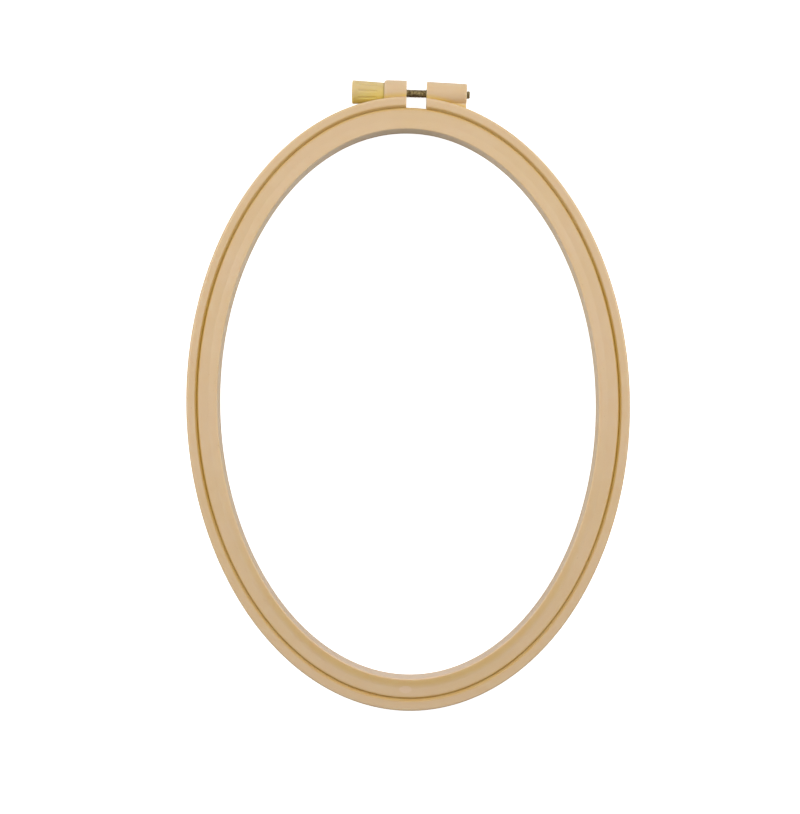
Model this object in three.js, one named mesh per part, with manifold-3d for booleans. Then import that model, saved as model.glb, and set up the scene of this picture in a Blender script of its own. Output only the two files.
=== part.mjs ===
// Oval embroidery hoop: an inner hoop, and a split outer hoop that a hand screw draws tight round it.
// Millimetres. The hoop lies on its back, with its front up (+Z), its clamp at +Y and the knob at -X.
import * as THREE from "three";
import { mergeVertices } from "three/addons/utils/BufferGeometryUtils.js";
import Module from "manifold-3d";

const wasm = await Module();
wasm.setup();

// Both hoops: the seam between them is an oval, and lies a little nearer the clamp than their other edges
const hoopDepth = 10;
const seamWidth = 155.2;
const seamLength = 216.9;
const seamShift = 0.17;
const hoopClearance = 0.3;
const seamRounding = 1.1;

// Outer hoop
const outerWallAtSides = 3.7;
const outerWallAtEnds = 4;
const outerRounding = 0.9;

// Inner hoop: its face rises to a low lip round the opening
const innerWall = 7.3;
const lipRise = 0.25;
const lipWidth = 2.4;
const lipRounding = 0.6;

// Clamp: the split, and the line of the screw through a barrel lug on each side of it
const splitOffset = 4.7;
const splitWidth = 7.35;
const screwRise = 2.25;
const clampTilt = THREE.MathUtils.degToRad(2.3);

// Plain lug on the knob's side
const plainLugLength = 8.3;
const plainLugRadius = 4.65;
const plainLugRounding = 0.6;

// Threaded lug on the other side, drawn out of its mould towards the tip of the screw
const threadedLugLength = 14.8;
const threadedLugRadius = 4.45;
const threadedLugEndRadius = 4.0;
const lugFootThickness = 2.6;

// Screw: a steel rod with a round head that the knob is moulded on
const screwRadius = 1.5;
const screwTipReach = 1.2;
const screwTipChamfer = 0.35;
const screwHeadRadius = 2.6;
const screwHeadLength = 2.4;
const screwClearance = 0.3;

// Knob: a tapered plastic grip with flutes between a plain rim and a plain collar
const knobLength = 11.5;
const knobRimRadius = 4.3;
const knobCollarRadius = 3.7;
const knobRimRounding = 0.5;
const knobCollarChamfer = 0.25;
const knobRimWidth = 2;
const knobCollarWidth = 2.2;
const knobEndWall = 2.6;
const fluteCount = 10;
const fluteRadius = 0.45;
const fluteDepth = 0.3;
const fluteTurn = THREE.MathUtils.degToRad(20);
const knobClearance = 0.4;

// Thread insert: a brass bush with two barbed bands, pressed into the threaded lug from its outer end
const insertLength = 6;
const insertRadius = 2.5;
const insertBandLength = 2;
const insertWaistDepth = 0.4;
const threadClearance = 0.15;
const seatClearance = 0.3;

// How finely round forms are divided
const ovalSteps = 128;
const roundSteps = 32;
const arcSteps = 2;
const fluteEndSteps = 2;
const fluteSteps = 8;

// Colours
const hoopPlastic = { color: 0xd8bb96, roughness: 0.5, metalness: 0 };
const knobPlastic = { color: 0xd6bd86, roughness: 0.45, metalness: 0 };
const screwSteel = { color: 0x7d6a4c, roughness: 0.4, metalness: 0.9 };
const insertBrass = { color: 0xb5934e, roughness: 0.35, metalness: 0.9 };

// Places that follow from the sizes
const rightAngle = Math.PI / 2;
const cutBeyond = 2;
const seamOval = { width: seamWidth, length: seamLength, shift: seamShift };
const outerOval = {
  width: seamWidth + 2 * outerWallAtSides,
  length: seamLength + 2 * outerWallAtEnds,
  shift: 0,
};
const rimOval = grown(seamOval, -hoopClearance);
const openingOval = { ...grown(rimOval, -innerWall), shift: 0 };
const lipOval = grown(openingOval, lipWidth);

// Places along the screw, from the middle of the split towards the tip
const plainLugFace = -splitWidth / 2;
const plainLugEnd = plainLugFace - plainLugLength;
const threadedLugFace = splitWidth / 2;
const threadedLugEnd = threadedLugFace + threadedLugLength;
const knobCollarEnd = plainLugEnd - seatClearance;
const knobRimEnd = knobCollarEnd - knobLength;
const screwHeadStart = knobRimEnd + knobEndWall;
const screwHeadEnd = screwHeadStart + screwHeadLength;
const screwTip = threadedLugEnd + screwTipReach;
const insertEnd = threadedLugEnd;
const insertStart = insertEnd - insertLength;

// The clamp's own frame: +X along the screw towards its tip, at mid depth, with 0 in the middle of the split
const clamp = new THREE.Group();
clamp.position.set(splitOffset, ovalHeight(outerOval, splitOffset) + screwRise, hoopDepth / 2);
clamp.rotation.z = -clampTilt;
clamp.updateMatrix();

function grown(oval, by) {
  return { width: oval.width + 2 * by, length: oval.length + 2 * by, shift: oval.shift };
}

// How far up the hoop's length an oval reaches, at a distance across from its middle
function ovalHeight(oval, across) {
  return oval.shift + (oval.length / 2) * Math.sqrt(1 - (across / (oval.width / 2)) ** 2);
}

function toSolid(geometry) {
  const bare = geometry.clone();
  bare.deleteAttribute("normal");
  bare.deleteAttribute("uv");
  const merged = mergeVertices(bare);
  const corners = [];
  for (let i = 0; i < merged.index.count; i += 3) {
    const [a, b, c] = merged.index.array.slice(i, i + 3);
    if (a !== b && b !== c && c !== a) corners.push(a, b, c);
  }
  const vertProperties = merged.attributes.position.array;
  const triVerts = new Uint32Array(corners);
  return new wasm.Manifold(new wasm.Mesh({ numProp: 3, vertProperties, triVerts }));
}

function toMesh(name, solid, finish) {
  const faces = solid.getMesh();
  const shared = new THREE.BufferGeometry();
  shared.setAttribute("position", new THREE.BufferAttribute(faces.vertProperties, 3));
  shared.setIndex(new THREE.BufferAttribute(faces.triVerts, 1));
  const geometry = shared.toNonIndexed();
  geometry.computeVertexNormals();
  const mesh = new THREE.Mesh(geometry, new THREE.MeshStandardMaterial(finish));
  mesh.name = name;
  return mesh;
}

// A solid turned about the hoop's axis, then drawn out along Y until it is an oval
function ovalSolid(oval, outline) {
  const turned = new THREE.LatheGeometry(outline.getPoints(arcSteps), ovalSteps);
  turned.rotateX(rightAngle);
  const drawnOut = (oval.length - oval.width) / 2;
  const place = turned.attributes.position;
  for (let i = 0; i < place.count; i += 1) {
    const radius = Math.hypot(place.getX(i), place.getY(i));
    if (radius > 0) place.setY(i, (place.getY(i) * (radius + drawnOut)) / radius);
  }
  turned.translate(0, oval.shift, 0);
  return toSolid(turned);
}

// An oval plate that stands on Z = 0, with its outside corners rounded
function ovalPlate(oval, depth, rounding) {
  const reach = oval.width / 2;
  const outline = new THREE.Path();
  outline.moveTo(0, 0);
  outline.lineTo(reach - rounding, 0);
  outline.absarc(reach - rounding, rounding, rounding, -rightAngle, 0);
  outline.lineTo(reach, depth - rounding);
  outline.absarc(reach - rounding, depth - rounding, rounding, 0, rightAngle);
  outline.lineTo(0, depth);
  return ovalSolid(oval, outline);
}

// What is cut from a plate for an oval opening whose rims are rounded on both faces
function ovalOpening(oval, depth, rounding) {
  const reach = oval.width / 2;
  const mouth = reach + rounding;
  const outline = new THREE.Path();
  outline.moveTo(0, -cutBeyond);
  outline.lineTo(mouth, -cutBeyond);
  outline.lineTo(mouth, 0);
  outline.absarc(mouth, rounding, rounding, -rightAngle, -2 * rightAngle, true);
  outline.lineTo(reach, depth - rounding);
  outline.absarc(mouth, depth - rounding, rounding, 2 * rightAngle, rightAngle, true);
  outline.lineTo(mouth, depth + cutBeyond);
  outline.lineTo(0, depth + cutBeyond);
  return ovalSolid(oval, outline);
}

// A form turned about the screw's line, from an outline of (radius, place along the screw)
function turnedOnScrew(outline) {
  const turned = new THREE.LatheGeometry(outline.getPoints(arcSteps), roundSteps);
  turned.rotateZ(-rightAngle);
  return turned;
}

// A straight or tapered round bar on the screw's line
function barOnScrew(start, startRadius, end, endRadius) {
  const outline = new THREE.Path();
  outline.moveTo(0, start);
  outline.lineTo(startRadius, start);
  outline.lineTo(endRadius, end);
  outline.lineTo(0, end);
  return turnedOnScrew(outline);
}

function inClamp(geometry) {
  return toSolid(geometry.clone().applyMatrix4(clamp.matrix));
}

function outerHoop() {
  const band = ovalPlate(outerOval, hoopDepth, outerRounding);
  const seam = ovalOpening(seamOval, hoopDepth, seamRounding);
  let hoop = band.add(inClamp(plainLug())).add(inClamp(threadedLug())).add(inClamp(threadedLugFoot()));
  hoop = hoop.subtract(seam).subtract(inClamp(split())).subtract(inClamp(knobRelief()));
  hoop = hoop.subtract(inClamp(screwHole())).subtract(inClamp(insertPocket()));
  return toMesh("outer_hoop", hoop, hoopPlastic);
}

function plainLug() {
  const outline = new THREE.Path();
  outline.moveTo(0, plainLugEnd);
  outline.lineTo(plainLugRadius - plainLugRounding, plainLugEnd);
  outline.absarc(
    plainLugRadius - plainLugRounding,
    plainLugEnd + plainLugRounding,
    plainLugRounding,
    -rightAngle,
    0,
  );
  outline.lineTo(plainLugRadius, 0);
  outline.lineTo(0, 0);
  return turnedOnScrew(outline);
}

function threadedLug() {
  const slope = (threadedLugRadius - threadedLugEndRadius) / threadedLugLength;
  const radiusAtSplit = threadedLugRadius + slope * threadedLugFace;
  return barOnScrew(0, radiusAtSplit, threadedLugEnd, threadedLugEndRadius);
}

// The web under the threaded lug, which fills the wedge between the straight lug and the curved hoop
function threadedLugFoot() {
  const endX = splitOffset + threadedLugEnd * Math.cos(clampTilt);
  const lugHeight = clamp.position.y - threadedLugEnd * Math.sin(clampTilt);
  const drop = lugHeight - ovalHeight(outerOval, endX) + outerWallAtEnds / 2;
  const foot = new THREE.BoxGeometry(threadedLugEnd, drop, lugFootThickness);
  foot.translate(threadedLugEnd / 2, -drop / 2, 0);
  return foot;
}

function split() {
  const lugRadius = Math.max(plainLugRadius, threadedLugRadius);
  const height = 2 * (lugRadius + screwRise + outerWallAtEnds);
  return new THREE.BoxGeometry(splitWidth, height, hoopDepth + 2 * cutBeyond);
}

// Room for the knob where its collar sits deeper than the outside of the hoop
function knobRelief() {
  const slope = (knobRimRadius - knobCollarRadius) / knobLength;
  const collarRadius = knobCollarRadius + knobClearance - slope * seatClearance;
  const rimRadius = knobRimRadius + knobClearance + slope * cutBeyond;
  return barOnScrew(knobRimEnd - cutBeyond, rimRadius, plainLugEnd, collarRadius);
}

function screwHole() {
  const radius = screwRadius + screwClearance;
  return barOnScrew(plainLugEnd - cutBeyond, radius, threadedLugEnd + cutBeyond, radius);
}

function insertPocket() {
  const radius = insertRadius + seatClearance;
  return barOnScrew(insertStart - seatClearance, radius, threadedLugEnd + cutBeyond, radius);
}

function innerHoop() {
  const faceHeight = hoopDepth - lipRise;
  const plate = ovalPlate(rimOval, faceHeight, seamRounding);
  const outline = new THREE.Path();
  outline.moveTo(0, faceHeight / 2);
  outline.lineTo(lipOval.width / 2, faceHeight / 2);
  outline.lineTo(lipOval.width / 2, faceHeight);
  outline.lineTo(openingOval.width / 2 + lipRounding, hoopDepth);
  outline.lineTo(0, hoopDepth);
  const lip = ovalSolid(lipOval, outline);
  const opening = ovalOpening(openingOval, hoopDepth, lipRounding);
  return toMesh("inner_hoop", plate.add(lip).subtract(opening), hoopPlastic);
}

function clampScrew() {
  const outline = new THREE.Path();
  outline.moveTo(0, screwHeadStart);
  outline.lineTo(screwHeadRadius, screwHeadStart);
  outline.lineTo(screwHeadRadius, screwHeadEnd);
  outline.lineTo(screwRadius, screwHeadEnd);
  outline.lineTo(screwRadius, screwTip - screwTipChamfer);
  outline.lineTo(screwRadius - screwTipChamfer, screwTip);
  outline.lineTo(0, screwTip);
  return toMesh("clamp_screw", toSolid(turnedOnScrew(outline)), screwSteel);
}

function knob() {
  const outline = new THREE.Path();
  outline.moveTo(0, knobRimEnd);
  outline.lineTo(knobRimRadius - knobRimRounding, knobRimEnd);
  outline.absarc(
    knobRimRadius - knobRimRounding,
    knobRimEnd + knobRimRounding,
    knobRimRounding,
    -rightAngle,
    0,
  );
  outline.lineTo(knobCollarRadius, knobCollarEnd - knobCollarChamfer);
  outline.lineTo(knobCollarRadius - knobCollarChamfer, knobCollarEnd);
  outline.lineTo(0, knobCollarEnd);
  let grip = toSolid(turnedOnScrew(outline));
  for (let i = 0; i < fluteCount; i += 1) grip = grip.subtract(toSolid(flute(i)));
  const headRoom = screwHeadRadius + seatClearance;
  const shankRoom = screwRadius + screwClearance;
  const headPocket = barOnScrew(
    screwHeadStart - seatClearance,
    headRoom,
    screwHeadEnd + seatClearance,
    headRoom,
  );
  const shankHole = barOnScrew(screwHeadEnd, shankRoom, knobCollarEnd + cutBeyond, shankRoom);
  grip = grip.subtract(toSolid(headPocket)).subtract(toSolid(shankHole));
  return toMesh("knob", grip, knobPlastic);
}

// One groove of the knob: a round-ended cut that follows the taper
function flute(index) {
  const start = knobRimEnd + knobRimWidth;
  const end = knobCollarEnd - knobCollarWidth;
  const taper = Math.atan2(knobRimRadius - knobCollarRadius, knobLength);
  const middleRadius = knobRimRadius - Math.tan(taper) * ((start + end) / 2 - knobRimEnd);
  const straight = end - start - 2 * fluteRadius;
  const groove = new THREE.CapsuleGeometry(fluteRadius, straight, fluteEndSteps, fluteSteps);
  groove.rotateZ(-rightAngle - taper);
  groove.translate((start + end) / 2, middleRadius + fluteRadius - fluteDepth, 0);
  groove.rotateX(fluteTurn + (index * 2 * Math.PI) / fluteCount);
  return groove;
}

function threadInsert() {
  const bore = screwRadius + threadClearance;
  const waist = insertRadius - insertWaistDepth;
  const outline = new THREE.Path();
  outline.moveTo(bore, insertStart);
  outline.lineTo(insertRadius, insertStart);
  outline.lineTo(insertRadius, insertStart + insertBandLength);
  outline.lineTo(waist, insertStart + insertBandLength);
  outline.lineTo(waist, insertEnd - insertBandLength);
  outline.lineTo(insertRadius, insertEnd - insertBandLength);
  outline.lineTo(insertRadius, insertEnd);
  outline.lineTo(bore, insertEnd);
  outline.lineTo(bore, insertStart);
  return toMesh("thread_insert", toSolid(turnedOnScrew(outline)), insertBrass);
}

clamp.add(clampScrew(), knob(), threadInsert());
const embroideryHoop = new THREE.Group();
embroideryHoop.name = "embroidery_hoop";
embroideryHoop.add(outerHoop(), innerHoop(), clamp);

// The part stands on the middle of its resting face
const reach = new THREE.Box3().setFromObject(embroideryHoop, true);
const middle = reach.getCenter(new THREE.Vector3());
embroideryHoop.position.set(-middle.x, -middle.y, -reach.min.z);

export default embroideryHoop;
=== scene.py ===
import math

import bmesh
import bpy
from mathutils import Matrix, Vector


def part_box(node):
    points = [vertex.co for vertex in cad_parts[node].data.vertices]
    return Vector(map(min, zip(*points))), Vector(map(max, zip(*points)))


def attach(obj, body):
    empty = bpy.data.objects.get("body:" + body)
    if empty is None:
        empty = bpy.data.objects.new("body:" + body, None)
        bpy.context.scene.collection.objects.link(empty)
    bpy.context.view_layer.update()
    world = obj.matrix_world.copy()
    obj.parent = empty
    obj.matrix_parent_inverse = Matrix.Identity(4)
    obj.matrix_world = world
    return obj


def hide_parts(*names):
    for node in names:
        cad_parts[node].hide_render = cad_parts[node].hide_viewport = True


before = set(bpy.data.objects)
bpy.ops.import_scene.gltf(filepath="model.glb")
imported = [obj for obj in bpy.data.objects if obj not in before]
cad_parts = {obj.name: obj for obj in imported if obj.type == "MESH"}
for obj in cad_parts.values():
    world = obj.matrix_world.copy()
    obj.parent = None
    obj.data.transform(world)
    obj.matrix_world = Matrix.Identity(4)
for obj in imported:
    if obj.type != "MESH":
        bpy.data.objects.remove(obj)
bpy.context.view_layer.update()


# Outer hoop: one moulding in beige plastic, an oval band that is split at the top, with a barrel lug on
# each side of the split. The screw passes through the short plain lug and turns in the thread that the
# long lug holds. The mould's two halves met at mid depth, and left their line on the wall and the barrels.
mm = 0.001
near = 0.01 * mm
hoop_depth = 10 * mm
seam_width = 154.9 * mm
seam_length = 216.55 * mm
seam_shift = 0.24 * mm
seat_clearance = 0.3 * mm
seam_chamfer = 0.7 * mm
wall_at_sides = 3.85 * mm
wall_at_ends = 4.175 * mm
outer_rounding = 0.9 * mm
split_width = 7.35 * mm
split_offset = 4.7 * mm
split_rounding = 0.15 * mm
screw_rise = 2.25 * mm
clamp_tilt = math.radians(2.3)
plain_lug_length = 8.3 * mm
plain_lug_radius = 4.65 * mm
plain_lug_rounding = 1 * mm
threaded_lug_length = 14.8 * mm
threaded_lug_radius = 4.45 * mm
threaded_lug_end_radius = 4.0 * mm
threaded_lug_rounding = 0.3 * mm
lug_foot_thickness = 4 * mm
lug_foot_inset = 0.1 * mm
screw_hole_radius = 1.8 * mm
insert_pocket_radius = 2.55 * mm
insert_pocket_length = 6.3 * mm
knob_relief_rim_radius = 4.8 * mm
knob_relief_collar_radius = 4.1 * mm
knob_relief_length = 13.8 * mm
knob_relief_bite = 0.01 * mm
spare = 1 * mm
beyond = 2 * mm
oval_sides = 360


class Oval:
    """An ellipse in a plane across the hoop's axis."""

    def __init__(self, width, length, middle_y, middle_x=0):
        self.width = width
        self.length = length
        self.middle_y = middle_y
        self.middle_x = middle_x

    def grown(self, by, shift=0):
        return Oval(self.width + 2 * by, self.length + 2 * by, self.middle_y + shift, self.middle_x)

    def reach_y(self, x):
        return self.middle_y + self.length / 2 * math.sqrt(1 - (2 * x / self.width) ** 2)

    def passes(self, point):
        radius = math.hypot(2 * point.x / self.width, 2 * (point.y - self.middle_y) / self.length)
        return abs(radius - 1) * self.width / 2 < 2 * near


def nothing_selected():
    if bpy.context.mode != "OBJECT":
        bpy.ops.object.mode_set(mode="OBJECT")
    bpy.ops.object.select_all(action="DESELECT")


def take(piece):
    """Makes one piece the only one selected, and the active one."""
    nothing_selected()
    piece.select_set(True)
    bpy.context.view_layer.objects.active = piece


def choose(piece, part, wanted):
    """In edit mode, selects the piece's edges or faces that pass a test of their place."""
    bpy.ops.mesh.select_mode(type=part)
    bpy.ops.mesh.select_all(action="DESELECT")
    mesh = bmesh.from_edit_mesh(piece.data)
    for item in mesh.edges if part == "EDGE" else mesh.faces:
        if wanted(item):
            item.select_set(True)
    bmesh.update_edit_mesh(piece.data)


def oval_ring(name, section):
    """A closed band. Its section is a list of (oval, height) corners, each extruded from the one before."""
    oval, height = section[0]
    nothing_selected()
    bpy.ops.mesh.primitive_circle_add(
        vertices=oval_sides, radius=oval.width / 2, location=(0, oval.middle_y, height)
    )
    bpy.ops.object.transform_apply(location=True)
    ring = bpy.context.object
    ring.name = name
    bpy.ops.object.mode_set(mode="EDIT")
    bpy.ops.mesh.select_all(action="SELECT")
    bpy.ops.transform.resize(
        value=(1, oval.length / oval.width, 1), center_override=(0, oval.middle_y, height)
    )
    for next_oval, next_height in section[1:]:
        step = (0, next_oval.middle_y - oval.middle_y, next_height - height)
        bpy.ops.mesh.extrude_region_move(TRANSFORM_OT_translate={"value": step})
        bpy.ops.transform.resize(
            value=(next_oval.width / oval.width, next_oval.length / oval.length, 1),
            center_override=(0, next_oval.middle_y, next_height),
        )
        oval, height = next_oval, next_height
    choose(ring, "EDGE", lambda edge: edge.is_boundary)
    bpy.ops.mesh.bridge_edge_loops()
    bpy.ops.mesh.select_all(action="SELECT")
    bpy.ops.mesh.normals_make_consistent(inside=False)
    bpy.ops.object.mode_set(mode="OBJECT")
    return ring


def round_edges(piece, wanted, rounding, segments=4):
    """Rounds the edges of a piece that pass a test of their place. One segment makes a flat chamfer."""
    take(piece)
    bpy.ops.object.mode_set(mode="EDIT")
    choose(piece, "EDGE", wanted)
    bpy.ops.mesh.bevel(offset=rounding, segments=segments, profile=0.5, affect="EDGES")
    bpy.ops.object.mode_set(mode="OBJECT")


def on_oval(oval, height):
    """A test of whether an edge runs along an oval at a height."""
    return lambda edge: all(abs(end.co.z - height) < near and oval.passes(end.co) for end in edge.verts)


def upright_bar(start, start_radius, end, end_radius, sides=96):
    """A round bar or cone on the Z axis, between two places along the screw."""
    nothing_selected()
    bpy.ops.mesh.primitive_cone_add(
        vertices=sides,
        radius1=start_radius,
        radius2=end_radius,
        depth=end - start,
        location=(0, 0, (start + end) / 2),
    )
    bpy.ops.object.transform_apply(location=True)
    return bpy.context.object


def upright_block(thickness, low_y, high_y, start, end):
    """A block that is centred across the hoop's depth, before it is laid on the screw's line."""
    nothing_selected()
    bpy.ops.mesh.primitive_cube_add(
        size=1,
        location=(0, (low_y + high_y) / 2, (start + end) / 2),
        scale=(thickness, high_y - low_y, end - start),
    )
    bpy.ops.object.transform_apply(location=True, scale=True)
    return bpy.context.object


def oval_plate(oval, low, high):
    """A solid oval plate between two heights."""
    nothing_selected()
    bpy.ops.mesh.primitive_cylinder_add(
        vertices=oval_sides,
        radius=oval.width / 2,
        depth=high - low,
        location=(0, oval.middle_y, (low + high) / 2),
        scale=(1, oval.length / oval.width, 1),
    )
    bpy.ops.object.transform_apply(location=True, scale=True)
    return bpy.context.object


def rim_at(place):
    """A test of whether an edge lies across the Z axis at a place along it."""
    return lambda edge: all(abs(end.co.z - place) < near for end in edge.verts)


def on_split_face(edge):
    """Whether an edge goes round one of the two faces of the split."""
    along_screw = Vector((math.cos(clamp_tilt), -math.sin(clamp_tilt), 0))
    off_face = [abs(abs(along_screw.dot(end.co - split_middle)) - split_width / 2) for end in edge.verts]
    return max(off_face) < near and edge.calc_face_angle(0) > math.radians(20)


def lay_on_screw(piece):
    """Turns an upright piece onto the screw's line, so that its Z points to the screw's tip."""
    take(piece)
    piece.rotation_euler = (0, math.pi / 2, -clamp_tilt)
    piece.location = split_middle
    bpy.ops.object.transform_apply(location=True, rotation=True)
    return piece


def combine(piece, other, operation):
    """Joins another solid to a piece, cuts it away, or keeps what they share."""
    modifier = piece.modifiers.new("combine", "BOOLEAN")
    modifier.operation = operation
    modifier.solver = "EXACT"
    modifier.object = other
    take(piece)
    bpy.ops.object.modifier_apply(modifier=modifier.name)
    bpy.data.objects.remove(other)


def smooth(piece, angle=math.radians(30)):
    """Shades a finished piece smoothly, apart from its corners."""
    keep = piece.modifiers.new("even shading", "WEIGHTED_NORMAL")
    keep.keep_sharp = True
    take(piece)
    bpy.ops.object.shade_smooth_by_angle(angle=angle)
    bpy.ops.object.modifier_apply(modifier=keep.name)


outer_oval = Oval(
    seam_width + 2 * wall_at_sides,
    seam_length + 2 * wall_at_ends,
    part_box("outer_hoop")[0].y + seam_length / 2 + wall_at_ends,
)
seam_oval = Oval(seam_width, seam_length, outer_oval.middle_y + seam_shift)
split_middle = Vector((split_offset, outer_oval.reach_y(split_offset) + screw_rise, hoop_depth / 2))
plain_lug_face = -split_width / 2
plain_lug_end = plain_lug_face - plain_lug_length
threaded_lug_face = split_width / 2
threaded_lug_end = threaded_lug_face + threaded_lug_length

outer_hoop = oval_ring(
    "outer_hoop_moulding",
    [(outer_oval, 0), (outer_oval, hoop_depth), (seam_oval, hoop_depth), (seam_oval, 0)],
)
for height in (0, hoop_depth):
    round_edges(outer_hoop, on_oval(outer_oval, height), outer_rounding, segments=5)
    round_edges(outer_hoop, on_oval(seam_oval, height), seam_chamfer, segments=1)

# The lugs and the foot are joined to the band first, and the split and the holes are cut after that
plain_lug = upright_bar(plain_lug_end, plain_lug_radius, plain_lug_face + spare, plain_lug_radius)
round_edges(plain_lug, rim_at(plain_lug_end), plain_lug_rounding)
combine(outer_hoop, lay_on_screw(plain_lug), "UNION")

lug_slope = (threaded_lug_radius - threaded_lug_end_radius) / threaded_lug_length
lug_start = threaded_lug_face - spare
threaded_lug = upright_bar(
    lug_start, threaded_lug_radius + lug_slope * spare, threaded_lug_end, threaded_lug_end_radius
)
round_edges(threaded_lug, rim_at(threaded_lug_end), threaded_lug_rounding, segments=3)
combine(outer_hoop, lay_on_screw(threaded_lug), "UNION")

lug_end_x = split_offset + threaded_lug_end * math.cos(clamp_tilt)
lug_end_y = split_middle.y - threaded_lug_end * math.sin(clamp_tilt)
foot_drop = lug_end_y - outer_oval.reach_y(lug_end_x) + wall_at_ends / 2
foot_end = threaded_lug_end - lug_foot_inset
foot = upright_block(lug_foot_thickness, -foot_drop, 0, threaded_lug_face - 2 * spare, foot_end)
lay_on_screw(foot)

# The foot ends inside the band's wall, so that nothing of it stands out into the inner hoop's place
mid_wall = seam_oval.grown(wall_at_ends / 2)
combine(foot, oval_plate(mid_wall, -beyond, hoop_depth + beyond), "DIFFERENCE")
combine(outer_hoop, foot, "UNION")

split_reach = plain_lug_radius + wall_at_ends
split = upright_block(
    hoop_depth + 2 * beyond, -split_reach - screw_rise, split_reach, plain_lug_face, threaded_lug_face
)
combine(outer_hoop, lay_on_screw(split), "DIFFERENCE")
round_edges(outer_hoop, on_split_face, split_rounding, segments=2)

relief_start = plain_lug_end - knob_relief_length
relief_end = plain_lug_end + knob_relief_bite
knob_relief = upright_bar(relief_start, knob_relief_rim_radius, relief_end, knob_relief_collar_radius)
combine(outer_hoop, lay_on_screw(knob_relief), "DIFFERENCE")

screw_hole = upright_bar(
    plain_lug_end - beyond, screw_hole_radius, threaded_lug_end + beyond, screw_hole_radius
)
combine(outer_hoop, lay_on_screw(screw_hole), "DIFFERENCE")

pocket_start = threaded_lug_end - insert_pocket_length
insert_pocket = upright_bar(
    pocket_start, insert_pocket_radius, threaded_lug_end + beyond, insert_pocket_radius
)
combine(outer_hoop, lay_on_screw(insert_pocket), "DIFFERENCE")
smooth(outer_hoop)


class Number:
    """A number that varies over a surface. Arithmetic on it adds the nodes that work it out."""

    def __init__(self, finish, socket):
        self.finish = finish
        self.socket = socket

    def worked_out(self, operation, first, second):
        return self.finish.node("ShaderNodeMath", {"operation": operation}, {0: first, 1: second})

    def __add__(self, other):
        return self.worked_out("ADD", self, other)

    def __radd__(self, other):
        return self.worked_out("ADD", other, self)

    def __sub__(self, other):
        return self.worked_out("SUBTRACT", self, other)

    def __rsub__(self, other):
        return self.worked_out("SUBTRACT", other, self)

    def __mul__(self, other):
        return self.worked_out("MULTIPLY", self, other)

    def __rmul__(self, other):
        return self.worked_out("MULTIPLY", other, self)

    def __abs__(self):
        return self.worked_out("ABSOLUTE", self, 0)


class Finish:
    """A material that is put together from nodes, with its patterns fixed to the piece."""

    def __init__(self, name, kind=bpy.data.materials, shader="Principled BSDF"):
        self.material = kind.new(name)
        self.material.use_nodes = True
        self.shader = self.material.node_tree.nodes[shader]

    def node(self, kind, settings=None, inputs=None, output=0):
        """Adds a node: its settings come first, then the values or links of its sockets."""
        node = self.material.node_tree.nodes.new(kind)
        for name, value in (settings or {}).items():
            setattr(node, name, value)
        for name, value in (inputs or {}).items():
            self.fill(node.inputs[name], value)
        return Number(self, node.outputs[output])

    def fill(self, socket, value):
        if isinstance(value, Number):
            self.material.node_tree.links.new(value.socket, socket)
        else:
            socket.default_value = value

    def surface(self, **values):
        for name, value in values.items():
            self.fill(self.shader.inputs[name.replace("_", " ").title()], value)

    def place(self, scale=(1, 1, 1), shift=(0, 0, 0)):
        """A point's place on the piece, in metres, drawn out or squeezed along the axes and then shifted."""
        point = self.node("ShaderNodeTexCoord", output="Object")
        return self.node("ShaderNodeMapping", None, {"Vector": point, "Scale": scale, "Location": shift})

    def clouds(self, across, seed, detail=2, stretch=(1, 1, 1)):
        """A soft random pattern with lumps of about one size."""
        place = self.place(stretch)
        inputs = {"Vector": place, "W": seed, "Scale": 1 / across, "Detail": detail}
        return self.node("ShaderNodeTexNoise", {"noise_dimensions": "4D"}, inputs)

    def between(self, value, low, high):
        """0 where a value is at its low mark, and 1 at its high one, with a soft change between."""
        inputs = {"Value": value, "From Min": low, "From Max": high}
        return self.node("ShaderNodeMapRange", {"interpolation_type": "SMOOTHSTEP"}, inputs)

    def blend(self, amount, first, second):
        """One colour going over into another."""
        return self.node("ShaderNodeMix", {"data_type": "RGBA"}, {0: amount, 6: first, 7: second}, output=2)

    def along(self, axis):
        """Where a point lies along an axis."""
        return self.node("ShaderNodeSeparateXYZ", None, {"Vector": self.place()}, output=axis)

    def outside(self, oval):
        """How far a point lies outside an oval, as measured across its width."""
        scale = (2 / oval.width, 2 / oval.length, 0)
        flat = self.place(scale, (-oval.middle_x * scale[0], -oval.middle_y * scale[1], 0))
        radius = self.node("ShaderNodeVectorMath", {"operation": "LENGTH"}, {0: flat}, output="Value")
        return (radius - 1) * (oval.width / 2)

    def seen_by(self, *rays):
        """1 for the kinds of ray that are named, and 0 for the others."""
        return sum(self.node("ShaderNodeLightPath", output=f"Is {ray} Ray") for ray in rays)

    def at_faces(self):
        """1 at the hoop's front and back, and 0 on its walls."""
        from_mid_depth = abs(self.along("Z") - hoop_depth / 2)
        return self.between(from_mid_depth, 3.6 * mm, 4.2 * mm)

    def deepen(self, away, reach, amount, tone):
        """Lays a deeper tone over the colour, full where a distance is nothing and gone at its reach."""
        nearness = 1 - self.between(away, 0.1 * reach, reach)
        self.tone = self.blend(amount * nearness, self.tone, tone)
        self.surface(base_color=self.tone)

    def relief(self, height, depth):
        """Lets a pattern of heights from 0 to 1 show as a relief of that depth."""
        return self.node("ShaderNodeBump", None, {"Height": height, "Distance": depth})


def colour(red, green, blue):
    """A colour as it looks under plain white light, from 0 to 255, made linear for the shader."""
    return tuple(((part / 255 + 0.055) / 1.055) ** 2.4 for part in (red, green, blue)) + (1,)


satin = 0.38
skin_depth = 0.012 * mm


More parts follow.
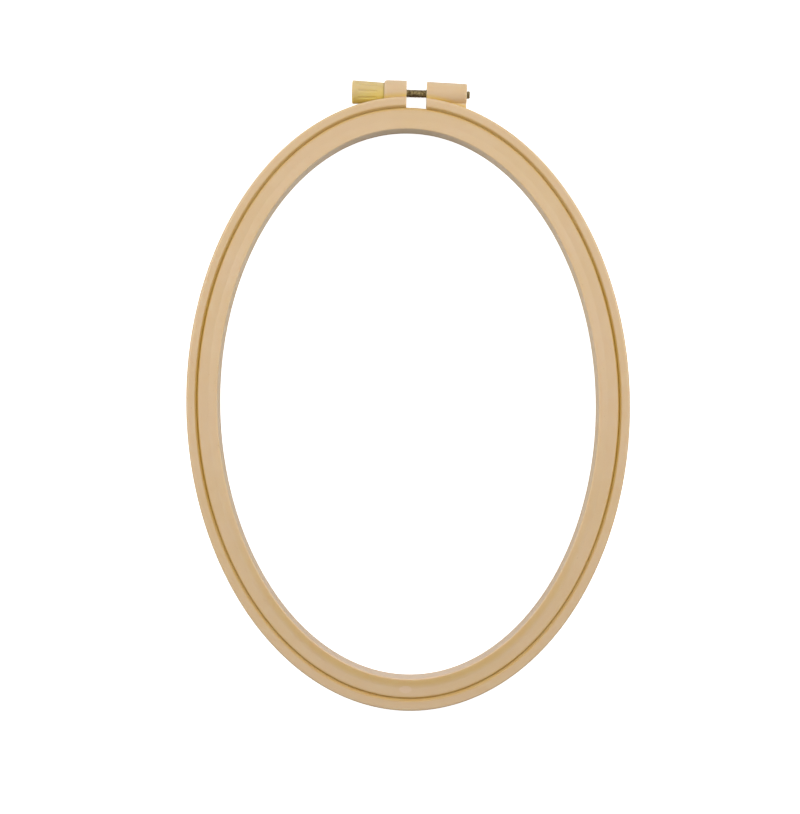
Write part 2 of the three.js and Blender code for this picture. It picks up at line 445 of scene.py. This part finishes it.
def moulded_plastic(name, seed, usual, warm, pale):
    """Satin plastic out of a polished mould: clouds of tone from the melt, a fine skin, and a few specks."""
    finish = Finish(name)
    melt = finish.between(finish.clouds(22 * mm, seed, detail=3), 0.38, 0.62)
    bloom = finish.between(finish.clouds(6 * mm, seed + 1, detail=4), 0.45, 0.75)
    specks = finish.between(finish.clouds(0.7 * mm, seed + 2, detail=1), 0.75, 0.8)
    tone = finish.blend(0.8 * melt, usual, warm)
    tone = finish.blend(0.5 * bloom, tone, pale)
    finish.tone = finish.blend(0.25 * specks, tone, colour(120, 96, 66))
    skin = finish.clouds(0.5 * mm, seed + 3, detail=3)
    sink = finish.clouds(9 * mm, seed + 4)
    from_mid_depth = abs(finish.along("Z") - hoop_depth / 2)
    parting_line = 1 - finish.between(from_mid_depth, 0.04 * mm, 0.1 * mm)
    finish.surface(base_color=finish.tone, roughness=satin + 0.12 * (bloom - 0.5))
    finish.surface(normal=finish.relief(skin + 6 * sink + 3 * parting_line, skin_depth))
    finish.surface(subsurface_weight=1, subsurface_scale=1.2 * mm, subsurface_radius=(1, 0.92, 0.8))
    finish.shader.inputs["Specular IOR Level"].default_value = 0.3
    return finish


def wear(piece, finish):
    """Gives a piece its only material."""
    piece.data.materials.clear()
    piece.data.materials.append(finish.material)


hoop_beige = colour(216, 189, 149)
hoop_pink = colour(217, 190, 154)
hoop_pale = colour(218, 193, 155)
# Painted shade and warm bounced light: the deeper, yellower tones for the seam and for the corner by the
# clamp
seam_shade_tone = colour(208, 174, 100)
seam_shade_core = colour(190, 149, 48)
corner_shade_tone = colour(220, 188, 96)
seam_shade_core_reach = 1.05 * mm
corner_shade_reach = 1.6 * mm


def paint_seam_shade(plastic, oval, reach, amount):
    """Paints shade on the faces along the seam: a soft edge at the hoop's ends, and a core that is weaker
    there.
    """
    from_seam = abs(plastic.outside(oval))
    ends = plastic.between(abs(plastic.along("Y")), 20 * mm, 80 * mm)
    plastic.deepen(from_seam, reach, plastic.at_faces() * (amount * ends), seam_shade_tone)
    plastic.deepen(from_seam, seam_shade_core_reach, plastic.at_faces() * (0.9 - 0.3 * ends), seam_shade_core)


outer_plastic = moulded_plastic("outer hoop plastic", 1, hoop_beige, hoop_pink, hoop_pale)

# The plastic lets light through, but the deeper, yellower tone in the seam and in the corner between band
# and clamp is painted shade and warm bounced light
paint_seam_shade(outer_plastic, seam_oval, reach=1.4 * mm, amount=0.1)
from_band = outer_plastic.outside(outer_oval)
past_band_shade = outer_plastic.between(from_band, -0.1 * mm, 0.3 * mm)
outer_plastic.deepen(from_band, corner_shade_reach, 0.7 * past_band_shade, corner_shade_tone)
wear(outer_hoop, outer_plastic)
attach(outer_hoop, "outer_hoop")
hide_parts("outer_hoop")


# Thread insert: a brass bush, turned and tapped, that is pressed into the long lug from its open end.
# Two knurled bands with a waist between them hold it in the plastic.
insert_length = 6 * mm
insert_radius = 2.5 * mm
insert_band = 2 * mm
insert_waist_radius = 2.1 * mm
insert_bore_radius = 1.65 * mm
insert_mouth = 0.2 * mm
knurl_ridges = 40
knurl_depth = 0.12 * mm
knurl_gap = 0.06 * mm

insert_start = threaded_lug_end - insert_length


def on_band(face):
    """Whether a face lies round one of the insert's two wide bands."""
    off_axis = face.calc_center_median().xy.length
    return abs(face.normal.z) < 0.1 and off_axis > insert_waist_radius + knurl_depth


def on_bore_mouth(edge):
    """Whether an edge goes round one of the two ends of the insert's bore."""
    ends = [end.co for end in edge.verts]
    off_ends = [min(abs(end.z - insert_start), abs(end.z - threaded_lug_end)) for end in ends]
    return max(off_ends) < near and all(end.xy.length < insert_bore_radius + near for end in ends)


insert = upright_bar(insert_start, insert_radius, insert_start + insert_band, insert_radius, knurl_ridges)
insert.name = "brass_insert"
bpy.ops.object.mode_set(mode="EDIT")
choose(insert, "FACE", lambda face: face.normal.z > 0.9)
radius = insert_radius
for next_radius, step in (
    (insert_waist_radius, 0),
    (insert_waist_radius, insert_length - 2 * insert_band),
    (insert_radius, 0),
    (insert_radius, insert_band),
):
    bpy.ops.mesh.extrude_region_move(TRANSFORM_OT_translate={"value": (0, 0, step)})
    ratio = next_radius / radius
    bpy.ops.transform.resize(value=(ratio, ratio, 1), center_override=(0, 0, 0))
    radius = next_radius
choose(insert, "FACE", on_band)
bpy.ops.mesh.inset(thickness=knurl_gap, depth=-knurl_depth, use_individual=True)
bpy.ops.object.mode_set(mode="OBJECT")
bore = upright_bar(insert_start - beyond, insert_bore_radius, threaded_lug_end + beyond, insert_bore_radius)
combine(insert, bore, "DIFFERENCE")
round_edges(insert, on_bore_mouth, insert_mouth, segments=1)
smooth(lay_on_screw(insert))

turned_brass = Finish("turned brass")
dulled = turned_brass.between(turned_brass.clouds(1.5 * mm, 31, detail=4), 0.4, 0.7)
turning_marks = turned_brass.clouds(0.1 * mm, 32, stretch=(0.2, 1, 1))
turned_brass.surface(
    base_color=turned_brass.blend(dulled, colour(190, 158, 92), colour(150, 122, 70)),
    roughness=0.28 + 0.15 * dulled,
    metallic=1,
    normal=turned_brass.relief(turning_marks, 0.01 * mm),
)
wear(insert, turned_brass)
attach(insert, "outer_hoop")
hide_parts("thread_insert")


# Inner hoop: a closed ring in the same beige plastic, which the fabric is laid over. Its face rises to a
# low lip round the opening. It is moulded whole, and is held only by the grip of the outer hoop.
hoop_clearance = 0.03 * mm
inner_wall = 7.35 * mm
wall_draft = 0.2 * mm
lip_rise = 0.25 * mm
lip_width = 3.4 * mm
lip_crest = 1.3 * mm
lip_foot_rounding = 0.3 * mm
lip_rounding = 0.4 * mm
back_rounding = 0.3 * mm

rim_oval = seam_oval.grown(-hoop_clearance)
opening_oval = seam_oval.grown(-seat_clearance - inner_wall, -seam_shift)
lip_oval = opening_oval.grown(lip_width)
crest_oval = opening_oval.grown(lip_crest)
back_oval = opening_oval.grown(wall_draft)
face_height = hoop_depth - lip_rise
inner_hoop = oval_ring(
    "inner_hoop_moulding",
    [
        (rim_oval, 0),
        (rim_oval, face_height),
        (lip_oval, face_height),
        (crest_oval, hoop_depth),
        (opening_oval, hoop_depth),
        (back_oval, 0),
    ],
)
for height in (0, face_height):
    round_edges(inner_hoop, on_oval(rim_oval, height), seam_chamfer, segments=1)
for oval, height, rounding in (
    (lip_oval, face_height, lip_foot_rounding),
    (opening_oval, hoop_depth, lip_rounding),
    (back_oval, 0, back_rounding),
):
    round_edges(inner_hoop, on_oval(oval, height), rounding, segments=5)
smooth(inner_hoop)

# Painted shade for the lip's slope and painted light for the wall of the opening, at the far end
lip_slope_shade_reach = 1.8 * mm
opening_wall_light_reach = 0.5 * mm
opening_wall_light_tone = colour(220, 194, 174)
inner_plastic = moulded_plastic("inner hoop plastic", 11, hoop_beige, hoop_pink, hoop_pale)
# Painted shade along the seam, as on the outer hoop
paint_seam_shade(inner_plastic, rim_oval, reach=1.8 * mm, amount=0.12)

# At the end away from the clamp, painted shade deepens the lip's slope, and painted light makes the wall of
# the opening paler
far_end_light_and_shade = 1 - inner_plastic.between(inner_plastic.along("Y"), -110 * mm, -20 * mm)
from_slope = abs(inner_plastic.outside(opening_oval.grown(1.4 * mm)))
inner_plastic.deepen(from_slope, lip_slope_shade_reach, 0.6 * far_end_light_and_shade, seam_shade_tone)
from_wall = abs(inner_plastic.outside(opening_oval))
inner_plastic.deepen(from_wall, opening_wall_light_reach, 0.6 * far_end_light_and_shade, opening_wall_light_tone)

# The gate that the plastic came in by left a pale mark on the face, at the end away from the clamp
gate_mark = Oval(width=3.6 * mm, length=2.1 * mm, middle_y=-108.1 * mm, middle_x=-2.4 * mm)
gate_mark_edge = 0.8 * mm
gate_mark_tone = colour(226, 200, 176)
on_face = inner_plastic.between(inner_plastic.along("Z"), hoop_depth / 2, face_height)
inner_plastic.deepen(inner_plastic.outside(gate_mark), gate_mark_edge, 0.5 * on_face, gate_mark_tone)
wear(inner_hoop, inner_plastic)
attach(inner_hoop, "inner_hoop")
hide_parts("inner_hoop")


# Clamp screw: a steel rod with a rolled M3 thread, dulled brown, and a knurled head that the knob is
# moulded on. It crosses the split in the open, and its tip shows just past the long lug.
thread_radius = 1.5 * mm
thread_depth = 0.3 * mm
thread_pitch = 0.5 * mm
thread_steps = 24
crest_share = 0.4
weld_distance = 0.001 * mm
tip_reach = 1.2 * mm
tip_chamfer = 0.35 * mm
head_radius = 2.6 * mm
head_length = 2.4 * mm
head_knurls = 48
head_knurl_gap = 0.05 * mm
knob_gap = 0.04 * mm
knob_length = 11.5 * mm
knob_end_wall = 2.6 * mm

knob_collar_end = plain_lug_end - knob_gap
knob_rim_end = plain_lug_end - seat_clearance - knob_length
head_start = knob_rim_end + knob_end_wall
head_end = head_start + head_length
tip = threaded_lug_end + tip_reach
thread_turns = math.ceil((tip - head_start) / thread_pitch) + 2

# One turn of the thread's outline is half a hexagon: root, flank, crest, flank and root
nothing_selected()
bpy.ops.mesh.primitive_circle_add(vertices=6, radius=1, rotation=(math.pi / 2, 0, 0))
screw = bpy.context.object
screw.name = "threaded_rod"
bpy.ops.object.transform_apply(rotation=True)
bpy.ops.object.mode_set(mode="EDIT")
choose(screw, "EDGE", lambda edge: all(end.co.x < -0.1 for end in edge.verts))
bpy.ops.mesh.delete(type="VERT")
choose(screw, "EDGE", lambda edge: all(end.co.x > 0.1 for end in edge.verts))
bpy.ops.transform.resize(value=(1, 1, crest_share), center_override=(0, 0, 0))
bpy.ops.mesh.select_all(action="SELECT")
crest = math.cos(math.pi / 6)
bpy.ops.transform.resize(value=(thread_depth / crest, 1, thread_pitch / 2), center_override=(0, 0, 0))
bpy.ops.transform.translate(value=(thread_radius - thread_depth, 0, head_start - thread_pitch))
bpy.ops.object.mode_set(mode="OBJECT")
turns = screw.modifiers.new("turns", "SCREW")
turns.screw_offset = thread_pitch
turns.iterations = thread_turns
turns.steps = thread_steps
turns.render_steps = thread_steps
take(screw)
bpy.ops.object.modifier_apply(modifier=turns.name)
bpy.ops.object.mode_set(mode="EDIT")
bpy.ops.mesh.select_all(action="SELECT")
bpy.ops.mesh.remove_doubles(threshold=weld_distance)
for place, side in ((head_start + thread_pitch / 4, 1), (tip + thread_pitch / 4, -1)):
    bpy.ops.mesh.select_all(action="SELECT")
    bpy.ops.mesh.bisect(plane_co=(0, 0, place), plane_no=(0, 0, -side), use_fill=True, clear_outer=True)
bpy.ops.mesh.select_all(action="SELECT")
bpy.ops.mesh.normals_make_consistent(inside=False)
bpy.ops.object.mode_set(mode="OBJECT")

point = upright_bar(head_start - spare, thread_radius + tip_chamfer, tip, thread_radius + tip_chamfer)
round_edges(point, rim_at(tip), 2 * tip_chamfer, segments=1)
combine(screw, point, "INTERSECT")

head = upright_bar(head_start, head_radius, head_end, head_radius, head_knurls)
bpy.ops.object.mode_set(mode="EDIT")
choose(head, "FACE", lambda face: abs(face.normal.z) < 0.1)
bpy.ops.mesh.inset(thickness=head_knurl_gap, depth=-knurl_depth, use_individual=True)
bpy.ops.object.mode_set(mode="OBJECT")
combine(screw, head, "UNION")
smooth(lay_on_screw(screw))

browned_steel = Finish("browned steel")
grime = browned_steel.between(browned_steel.clouds(0.8 * mm, 41, detail=4), 0.4, 0.65)
browned_steel.surface(
    base_color=browned_steel.blend(grime, colour(180, 167, 131), colour(127, 110, 79)),
    roughness=0.34 + 0.2 * grime,
    metallic=1,
)
wear(screw, browned_steel)
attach(screw, "clamp_screw")
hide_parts("clamp_screw")


# Knob: a tapered grip in a yellower plastic, moulded over the screw's head. Round-ended flutes run between
# a plain rim at its outer end and a plain collar at the lug.
knob_rim_radius = 4.3 * mm
knob_collar_radius = 3.7 * mm
knob_rim_rounding = 0.5 * mm
knob_collar_rounding = 0.06 * mm
knob_rim_width = 2 * mm
knob_collar_width = 2.2 * mm
flute_count = 10
flute_radius = 0.6 * mm
flute_depth = 0.2 * mm
flute_end_rounding = 0.99 * flute_radius
flute_turn = math.radians(23)
head_room = 0.3 * mm

knob = upright_bar(knob_rim_end, knob_rim_radius, knob_collar_end, knob_collar_radius)
knob.name = "fluted_knob"
round_edges(knob, rim_at(knob_rim_end), knob_rim_rounding)
round_edges(knob, rim_at(knob_collar_end), knob_collar_rounding, segments=3)

flute_start = knob_rim_end + knob_rim_width
flute_end = knob_collar_end - knob_collar_width
flute_middle = (flute_start + flute_end) / 2
taper = math.atan2(knob_rim_radius - knob_collar_radius, knob_length)
radius_at_flute = knob_rim_radius - math.tan(taper) * (flute_middle - knob_rim_end)
flute_half = (flute_end - flute_start) / 2
for index in range(flute_count):
    flute = upright_bar(-flute_half, flute_radius, flute_half, flute_radius, 24)
    for end_place in (-flute_half, flute_half):
        round_edges(flute, rim_at(end_place), flute_end_rounding, segments=6)
    flute.rotation_euler = (taper, 0, 0)
    flute.location = (0, radius_at_flute + flute_radius - flute_depth, flute_middle)
    take(flute)
    bpy.ops.object.transform_apply(location=True, rotation=True)
    flute.rotation_euler = (0, 0, flute_turn + index * math.tau / flute_count)
    bpy.ops.object.transform_apply(rotation=True)
    combine(knob, flute, "DIFFERENCE")

pocket_radius = head_radius + head_room
pocket = upright_bar(head_start - head_room, pocket_radius, head_end + head_room, pocket_radius)
combine(knob, pocket, "DIFFERENCE")
shank_hole = upright_bar(head_end, screw_hole_radius, knob_collar_end + beyond, screw_hole_radius)
combine(knob, shank_hole, "DIFFERENCE")
smooth(lay_on_screw(knob))

knob_beige = colour(213, 190, 136)
knob_yellow = colour(211, 187, 128)
knob_pale = colour(217, 197, 148)
# Painted shade and warm bounced light on the knob's side toward the band
near_band_shade_reach = 4 * mm
near_band_shade_tone = colour(228, 206, 96)
knob_plastic = moulded_plastic("knob plastic", 21, knob_beige, knob_yellow, knob_pale)
# Painted shade and warm bounced light: the knob turns a deeper yellow toward the band
knob_plastic.deepen(knob_plastic.outside(outer_oval), near_band_shade_reach, 0.7, near_band_shade_tone)
wear(knob, knob_plastic)
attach(knob, "knob")
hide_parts("knob")


# Table and light: the hoop lies face up on a white table, under two soft boxes that hang over the clamp's
# end, one to each side, with white walls all round.
table_size = 4
table_grey = 0.7
table_lift = 0.9
mirrored_table_lift = 0.15
lamp_size = 0.45
lamp_across = 0.55
lamp_beyond = 0.26
lamp_height = 0.6
lamp_power = 4.1
wall_light = 0.25

nothing_selected()
bpy.ops.mesh.primitive_plane_add(size=table_size)
table = bpy.context.object
table.name = "table"
white = Finish("white table")
white.surface(base_color=(table_grey, table_grey, table_grey, 1), roughness=0.9, emission_strength=1)
lift = table_lift * white.seen_by("Camera") + mirrored_table_lift * white.seen_by("Glossy", "Transmission")
white.surface(emission_color=white.blend(lift, (0, 0, 0, 1), (1, 1, 1, 1)))
white.shader.inputs["Specular IOR Level"].default_value = 0
wear(table, white)

for side, name in ((-1, "left_lamp"), (1, "right_lamp")):
    bpy.ops.object.light_add(type="AREA")
    lamp = bpy.context.object
    lamp.name = name
    lamp.data.size = lamp_size
    lamp.data.energy = lamp_power
    lamp.location = (side * lamp_across, lamp_beyond, lamp_height)
    lamp.rotation_euler = lamp.location.to_track_quat("Z", "Y").to_euler()

walls = Finish("white walls", bpy.data.worlds, "Background")
in_view = walls.seen_by("Camera", "Glossy", "Transmission")
walls.surface(color=(1, 1, 1, 1), strength=wall_light + (1 - wall_light) * in_view)
bpy.context.scene.world = walls.material


# Camera: straight above the hoop's face, a little off its middle
camera_distance = 480 * mm
camera_x = -2.99 * mm
camera_y = -4.753 * mm
camera_turn = math.radians(-0.78)
lens_length = 58.07

bpy.ops.object.camera_add()
camera = bpy.context.object
camera.location = (camera_x, camera_y, hoop_depth + camera_distance)
camera.rotation_euler = (0, 0, camera_turn)
camera.data.lens = lens_length
scene = bpy.context.scene
scene.camera = camera
scene.view_settings.view_transform = "Standard"
